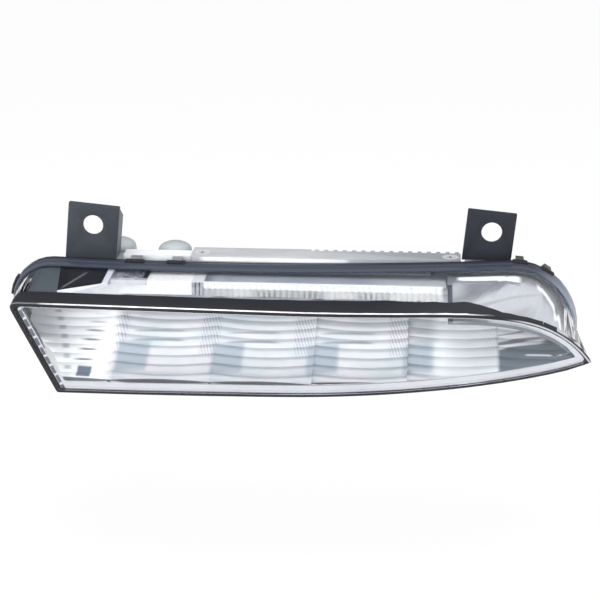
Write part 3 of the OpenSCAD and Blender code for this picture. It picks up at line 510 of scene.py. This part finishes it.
def finished(work, name, slot, replaced, smooth, material=None):
    """Turns the bmesh into a piece that stands for CAD nodes, with hard edges above smooth degrees."""
    mesh = bpy.data.meshes.new(name)
    for face in work.faces:
        face.smooth = True
    limit = math.radians(smooth)
    for edge in work.edges:
        edge.smooth = len(edge.link_faces) == 2 and edge.calc_face_angle(0) < limit
    work.to_mesh(mesh)
    work.free()
    piece = bpy.data.objects.new(name, mesh)
    bpy.context.collection.objects.link(piece)
    mesh.materials.append(material or finishes[slot])
    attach(piece, "root")
    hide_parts(*replaced)
    return piece


def merged(node):
    """A clean copy of a CAD piece, as one closed mesh of flat faces."""
    work = bmesh.new()
    work.from_mesh(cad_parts[node].data)
    bmesh.ops.remove_doubles(work, verts=work.verts, dist=1e-6)
    bmesh.ops.dissolve_limit(work, angle_limit=math.radians(0.5), verts=work.verts, edges=work.edges)
    return work


def round_edges(work, edges, radius):
    bmesh.ops.bevel(work, geom=edges, offset=radius, segments=2, profile=0.5, affect="EDGES",
                    material=-1, clamp_overlap=True)


def sharp_edges(work, degrees):
    limit = math.radians(degrees)
    return [e for e in work.edges if len(e.link_faces) == 2 and e.calc_face_angle(0) > limit]


def softened(node, radius=0.0, smooth=35, material=None):
    """A merged copy of a CAD piece, with its hard edges rounded where a radius is given."""
    work = merged(node)
    if radius:
        round_edges(work, sharp_edges(work, 30), radius)
    finished(work, node + "_finished", slot_of[node], (node,), smooth, material)


for node, slot in slot_of.items():
    dress(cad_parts[node], slot)

softened("bracket_left", 0.25 * MM)
# The right bracket takes the darker copy of the strap paint, painted shade
softened("bracket_right", 0.25 * MM, material=finishes["strap_paint_shaded"])
softened("vent_cap_1", 0.3 * MM)
softened("vent_cap_2", 0.3 * MM)
softened("heat_sink_screws", material=finishes["sink_screws"])
softened("bracket_screws", 0.1 * MM)
softened("connector_socket", 0.25 * MM)
softened("retaining_rim", 0.15 * MM)
softened("rim_clips", 0.15 * MM)
softened("outer_lens", smooth=28)
softened("reflector", smooth=24)
softened("led_shield", smooth=40)
softened("end_panel_right", 0.3 * MM, smooth=40)
softened("housing", smooth=30)
softened("heat_sink", 0.15 * MM)


def black_border():
    """The border, with the fillet between its top band and its front painted pale as a painted highlight."""
    work = merged("front_frame")
    fillet_right_end = 0.088
    fillet_lowest = -0.028
    hidden_below = -0.030
    inner_top_below = -0.050
    fillet = []
    for edge in sharp_edges(work, 40):
        normals = [f.normal for f in edge.link_faces]
        middle = (edge.verts[0].co + edge.verts[1].co) / 2
        top_and_front = max(n.z for n in normals) > 0.7 and min(n.y for n in normals) < -0.8
        on_the_band = middle.x < fillet_right_end and middle.z > fillet_lowest
        if top_and_front and min(n.z for n in normals) > -0.3 and on_the_band:
            fillet.append(edge)
    rounded = bmesh.ops.bevel(work, geom=fillet, offset=0.45 * MM, segments=3, profile=0.5, affect="EDGES",
                              material=-1, clamp_overlap=False)
    for face in work.faces:
        height = face.calc_center_median().z
        inner_top = face.normal.z > 0.6 and height < inner_top_below
        hidden_side = face.normal.y > 0.5 or inner_top or face.normal.x > 0.6
        if hidden_side and height < hidden_below:
            face.material_index = 2
    # The rounded fillet takes the pale edge paint, a painted highlight
    for face in rounded["faces"]:
        face.material_index = 1
    piece = finished(work, "black_border_finished", "black_border", ("front_frame",), 28)
    piece.data.materials.append(finishes["edge_highlight_paint"])
    piece.data.materials.append(finishes["bright_trim"])


black_border()


def bright_trim():
    """The trim around the window, whose foot shows bright through the wall of the lens."""
    work = merged("bezel_trim")
    foot_below = -0.045
    foot_drop = 1.1 * MM
    foot_faces = [f for f in work.faces if f.normal.z < -0.8 and f.calc_center_median().z < foot_below]
    for vert in {v for f in foot_faces for v in f.verts}:
        vert.co.z -= foot_drop
    finished(work, "bright_trim_finished", "bright_trim", ("bezel_trim",), 28)


bright_trim()


def two_tone_panel():
    """The left end panel: dark grey at the end, black beside it, bright on its hidden inner side."""
    place = Vector((-0.1022, -0.004, 0))
    across = Vector((0.989, 0.147, 0))
    work = merged("end_panel_left")
    bmesh.ops.bisect_plane(work, geom=work.verts[:] + work.edges[:] + work.faces[:], dist=1e-7,
                           plane_co=place, plane_no=across)
    piece = finished(work, "left_panel_finished", "dark_panel", ("end_panel_left",), 40)
    piece.data.materials.append(finishes["panel_black"])
    piece.data.materials.append(finishes["bright_trim"])
    for face in piece.data.polygons:
        if face.normal.z < -0.2:
            face.material_index = 2
        elif (face.center - place).dot(across) > 0:
            face.material_index = 1


two_tone_panel()


def paper_floor():
    """A paper floor that shows white, with only a trace of the lamp's shadow."""
    half_width = 3.0
    height = -0.14
    work = bmesh.new()
    bmesh.ops.create_grid(work, x_segments=1, y_segments=1, size=half_width)
    bmesh.ops.translate(work, vec=(0, 0, height), verts=work.verts)
    mesh = bpy.data.meshes.new("floor")
    work.to_mesh(mesh)
    work.free()
    floor = bpy.data.objects.new("floor", mesh)
    bpy.context.collection.objects.link(floor)
    material = new_material("floor_paper")
    tree = material.node_tree
    paper = put(tree, "ShaderNodeBsdfDiffuse", (-200, 0))
    paper.inputs["Color"].default_value = (0.82, 0.82, 0.82, 1)
    glow = put(tree, "ShaderNodeEmission", (-200, -200))
    glow.inputs["Color"].default_value = (1, 1, 1, 1)
    path = put(tree, "ShaderNodeLightPath", (-800, 300))
    seen = put(tree, "ShaderNodeMath", (-500, 300), operation="MAXIMUM")
    shown = put(tree, "ShaderNodeMath", (-300, 300), operation="MAXIMUM")
    share = put(tree, "ShaderNodeMath", (-100, 300), operation="MULTIPLY")
    share.inputs[1].default_value = 0.93
    wire(tree, path.outputs["Is Camera Ray"], seen.inputs[0])
    wire(tree, path.outputs["Is Glossy Ray"], seen.inputs[1])
    wire(tree, seen.outputs["Value"], shown.inputs[0])
    wire(tree, path.outputs["Is Transmission Ray"], shown.inputs[1])
    wire(tree, shown.outputs["Value"], share.inputs[0])
    blend = put(tree, "ShaderNodeMixShader", (100, 0))
    wire(tree, share.outputs["Value"], blend.inputs["Fac"])
    wire(tree, paper.outputs["BSDF"], blend.inputs[1])
    wire(tree, glow.outputs["Emission"], blend.inputs[2])
    surface = put(tree, "ShaderNodeOutputMaterial", (300, 0))
    wire(tree, blend.outputs["Shader"], surface.inputs["Surface"])
    mesh.materials.append(material)


def studio_world():
    """White to the camera, and for reflections a bright room with a dark flag behind the lamp."""
    world = bpy.data.worlds.new("studio")
    bpy.context.scene.world = world
    world.use_nodes = True
    tree = world.node_tree
    tree.nodes.clear()
    direction = put(tree, "ShaderNodeTexCoord", (-1100, 0))
    split = put(tree, "ShaderNodeSeparateXYZ", (-900, 0))
    wire(tree, direction.outputs["Generated"], split.inputs["Vector"])
    # In front of the lamp the room is a little dimmer
    ahead = put(tree, "ShaderNodeMapRange", (-700, -100), interpolation_type="SMOOTHSTEP")
    ahead.inputs["From Min"].default_value = -1.0
    ahead.inputs["From Max"].default_value = -0.3
    wire(tree, split.outputs["Y"], ahead.inputs["Value"])
    room = put(tree, "ShaderNodeMix", (-450, -100), data_type="RGBA")
    room.inputs["A"].default_value = (0.62, 0.65, 0.72, 1)
    room.inputs["B"].default_value = (1.0, 1.0, 1.0, 1)
    wire(tree, ahead.outputs["Result"], room.inputs["Factor"])
    # Straight behind the lamp stands the flag
    behind = put(tree, "ShaderNodeMapRange", (-700, -400), interpolation_type="SMOOTHSTEP")
    behind.inputs["From Min"].default_value = 0.6
    behind.inputs["From Max"].default_value = 0.85
    wire(tree, split.outputs["Y"], behind.inputs["Value"])
    flag = put(tree, "ShaderNodeMix", (-350, -250), data_type="RGBA")
    flag.inputs["B"].default_value = (0.06, 0.065, 0.075, 1)
    wire(tree, behind.outputs["Result"], flag.inputs["Factor"])
    wire(tree, room.outputs["Result"], flag.inputs["A"])
    path = put(tree, "ShaderNodeLightPath", (-900, 400))
    inside = put(tree, "ShaderNodeMapRange", (-450, 300))
    inside.inputs["To Min"].default_value = 0.80
    inside.inputs["To Max"].default_value = 1.0
    wire(tree, path.outputs["Is Transmission Ray"], inside.inputs["Value"])
    lit = put(tree, "ShaderNodeBackground", (-200, -100))
    wire(tree, inside.outputs["Result"], lit.inputs["Strength"])
    wire(tree, flag.outputs["Result"], lit.inputs["Color"])
    plain = put(tree, "ShaderNodeBackground", (-200, 150))
    plain.inputs["Color"].default_value = (1, 1, 1, 1)
    plain.inputs["Strength"].default_value = 1.0
    mix = put(tree, "ShaderNodeMixShader", (50, 0))
    wire(tree, path.outputs["Is Camera Ray"], mix.inputs["Fac"])
    wire(tree, lit.outputs["Background"], mix.inputs[1])
    wire(tree, plain.outputs["Background"], mix.inputs[2])
    out = put(tree, "ShaderNodeOutputWorld", (250, 0))
    wire(tree, mix.outputs["Shader"], out.inputs["Surface"])


def soft_lamp(name, place, target, size, power):
    data = bpy.data.lights.new(name, "AREA")
    data.shape = "RECTANGLE"
    data.size, data.size_y = size
    data.energy = power
    lamp = bpy.data.objects.new(name, data)
    lamp.location = place
    lamp.rotation_euler = (Vector(target) - Vector(place)).to_track_quat("-Z", "Y").to_euler()
    lamp.visible_glossy = False
    lamp.visible_transmission = False
    bpy.context.collection.objects.link(lamp)


paper_floor()
studio_world()
soft_lamp("top_softbox", (0.0, -0.15, 0.95), (0, -0.02, -0.03), (0.9, 0.6), 9)
soft_lamp("left_softbox", (-0.9, -0.7, 0.45), (0, -0.02, -0.03), (0.5, 0.8), 5)
soft_lamp("front_fill", (-0.30, -0.85, 0.05), (-0.02, -0.05, -0.04), (0.5, 0.3), 5)
soft_lamp("right_softbox", (0.95, -0.45, 0.5), (0.05, -0.02, -0.03), (0.4, 0.8), 4)
